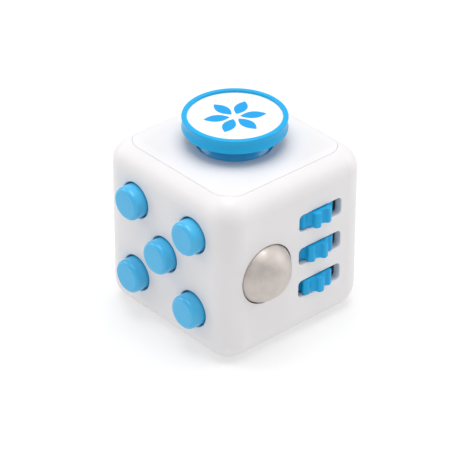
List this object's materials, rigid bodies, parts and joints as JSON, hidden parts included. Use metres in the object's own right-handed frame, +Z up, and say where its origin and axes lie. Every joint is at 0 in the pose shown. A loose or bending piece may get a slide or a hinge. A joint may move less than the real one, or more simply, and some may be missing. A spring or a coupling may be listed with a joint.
{
  "type": "fidget cube",
  "caption": "Hand-sized cube with push buttons, toothed rollers, a rolling ball, a tilting joystick, a rocker switch and a spinning dial on its faces.",
  "frame": {"origin": "middle of the flat underside that the cube stands on", "axes": "+Z up to the joystick, -Y to the push buttons, +X to the rollers and the ball, -X to the rocker switch, +Y to the dial"},
  "size_m": [0.0397, 0.0378, 0.0385],
  "materials": {
    "white_plastic": "fine satin moulded",
    "blue_plastic": "smooth semi-gloss moulded",
    "inner_plastic": "plain moulded",
    "label_film": "printed film",
    "ball_steel": "satin polished",
    "screw_steel": "plain",
    "spring_steel": "spring temper",
    "pad_rubber": "soft"
  },
  "bodies": {
    "housing": {"cube_shell": "white_plastic", "top_cover": "white_plastic", "button_back_plate": "inner_plastic", "button_plate_screws": "screw_steel", "click_dome_top_left": "spring_steel", "click_dome_centre": "spring_steel", "click_dome_bottom_right": "spring_steel", "silent_pad_top_right": "pad_rubber", "silent_pad_bottom_left": "pad_rubber", "roller_bracket": "inner_plastic", "roller_axle": "screw_steel", "roller_bracket_screws": "screw_steel", "ball_guide": "inner_plastic", "ball_click_dome": "spring_steel", "ball_guide_screws": "screw_steel", "joystick_base": "inner_plastic", "joystick_base_screws": "screw_steel", "joystick_spring": "spring_steel", "switch_pin": "screw_steel", "switch_frame": "inner_plastic", "switch_frame_screws": "screw_steel", "switch_detent_spring": "spring_steel"},
    "button_top_left": {"button_top_left": "blue_plastic"},
    "button_top_right": {"button_top_right": "blue_plastic"},
    "button_centre": {"button_centre": "blue_plastic"},
    "button_bottom_left": {"button_bottom_left": "blue_plastic"},
    "button_bottom_right": {"button_bottom_right": "blue_plastic"},
    "roller_upper": {"roller_upper": "blue_plastic"},
    "roller_middle": {"roller_middle": "blue_plastic"},
    "roller_lower": {"roller_lower": "blue_plastic"},
    "ball_slide": {"ball_cup": "inner_plastic"},
    "ball": {"steel_ball": "ball_steel"},
    "gimbal": {"gimbal_ring": "inner_plastic", "gimbal_cross_pin": "screw_steel"},
    "joystick": {"joystick_cap": "blue_plastic", "joystick_label": "label_film", "joystick_stem": "inner_plastic", "joystick_collar": "blue_plastic", "joystick_cap_screw": "screw_steel"},
    "rocker": {"rocker": "blue_plastic"},
    "dial": {"dial": "blue_plastic", "dial_washer": "screw_steel", "dial_screw": "screw_steel"}
  },
  "joints": [
    {"name": "press_top_left", "type": "slide", "parent": "housing", "child": "button_top_left", "axis": [0, 1, 0], "range_m": [0, 0.0007], "stiffness_N_per_m": 1500, "deforming": ["click_dome_top_left"]},
    {"name": "press_top_right", "type": "slide", "parent": "housing", "child": "button_top_right", "axis": [0, 1, 0], "range_m": [0, 0.0007], "stiffness_N_per_m": 1500, "deforming": ["silent_pad_top_right"]},
    {"name": "press_centre", "type": "slide", "parent": "housing", "child": "button_centre", "axis": [0, 1, 0], "range_m": [0, 0.0007], "stiffness_N_per_m": 1500, "deforming": ["click_dome_centre"]},
    {"name": "press_bottom_left", "type": "slide", "parent": "housing", "child": "button_bottom_left", "axis": [0, 1, 0], "range_m": [0, 0.0007], "stiffness_N_per_m": 1500, "deforming": ["silent_pad_bottom_left"]},
    {"name": "press_bottom_right", "type": "slide", "parent": "housing", "child": "button_bottom_right", "axis": [0, 1, 0], "range_m": [0, 0.0007], "stiffness_N_per_m": 1500, "deforming": ["click_dome_bottom_right"]},
    {"name": "roll_upper", "type": "hinge", "parent": "housing", "child": "roller_upper", "pos_m": [0.01338, 0.00508, 0.02331], "axis": [0, 0, 1], "continuous": true},
    {"name": "roll_middle", "type": "hinge", "parent": "housing", "child": "roller_middle", "pos_m": [0.01338, 0.00508, 0.0165], "axis": [0, 0, 1], "continuous": true},
    {"name": "roll_lower", "type": "hinge", "parent": "housing", "child": "roller_lower", "pos_m": [0.01338, 0.00508, 0.00969], "axis": [0, 0, 1], "continuous": true},
    {"name": "ball_press", "type": "slide", "parent": "housing", "child": "ball_slide", "axis": [-1, 0, 0], "range_m": [0, 0.001], "stiffness_N_per_m": 1500, "deforming": ["ball_click_dome"]},
    {"name": "ball_roll", "type": "hinge", "parent": "ball_slide", "child": "ball", "pos_m": [0.01415, -0.0071, 0.0165], "axis": [0, 0, 1], "continuous": true},
    {"name": "joystick_tilt_back", "type": "hinge", "parent": "housing", "child": "gimbal", "pos_m": [0, 0, 0.0279], "axis": [1, 0, 0], "range_deg": [-10, 10], "stiffness_Nm_per_rad": 0.06, "deforming": ["joystick_spring"]},
    {"name": "joystick_tilt_side", "type": "hinge", "parent": "gimbal", "child": "joystick", "pos_m": [0, 0, 0.0279], "axis": [0, 1, 0], "range_deg": [-10, 10], "stiffness_Nm_per_rad": 0.06, "deforming": ["joystick_spring"]},
    {"name": "rocker_flip", "type": "hinge", "parent": "housing", "child": "rocker", "pos_m": [-0.0136, 0, 0.0165], "axis": [0, 1, 0], "range_deg": [0, 18], "deforming": ["switch_detent_spring"]},
    {"name": "dial_spin", "type": "hinge", "parent": "housing", "child": "dial", "pos_m": [0, 0.0165, 0.0165], "axis": [0, 1, 0], "continuous": true}
  ]
}
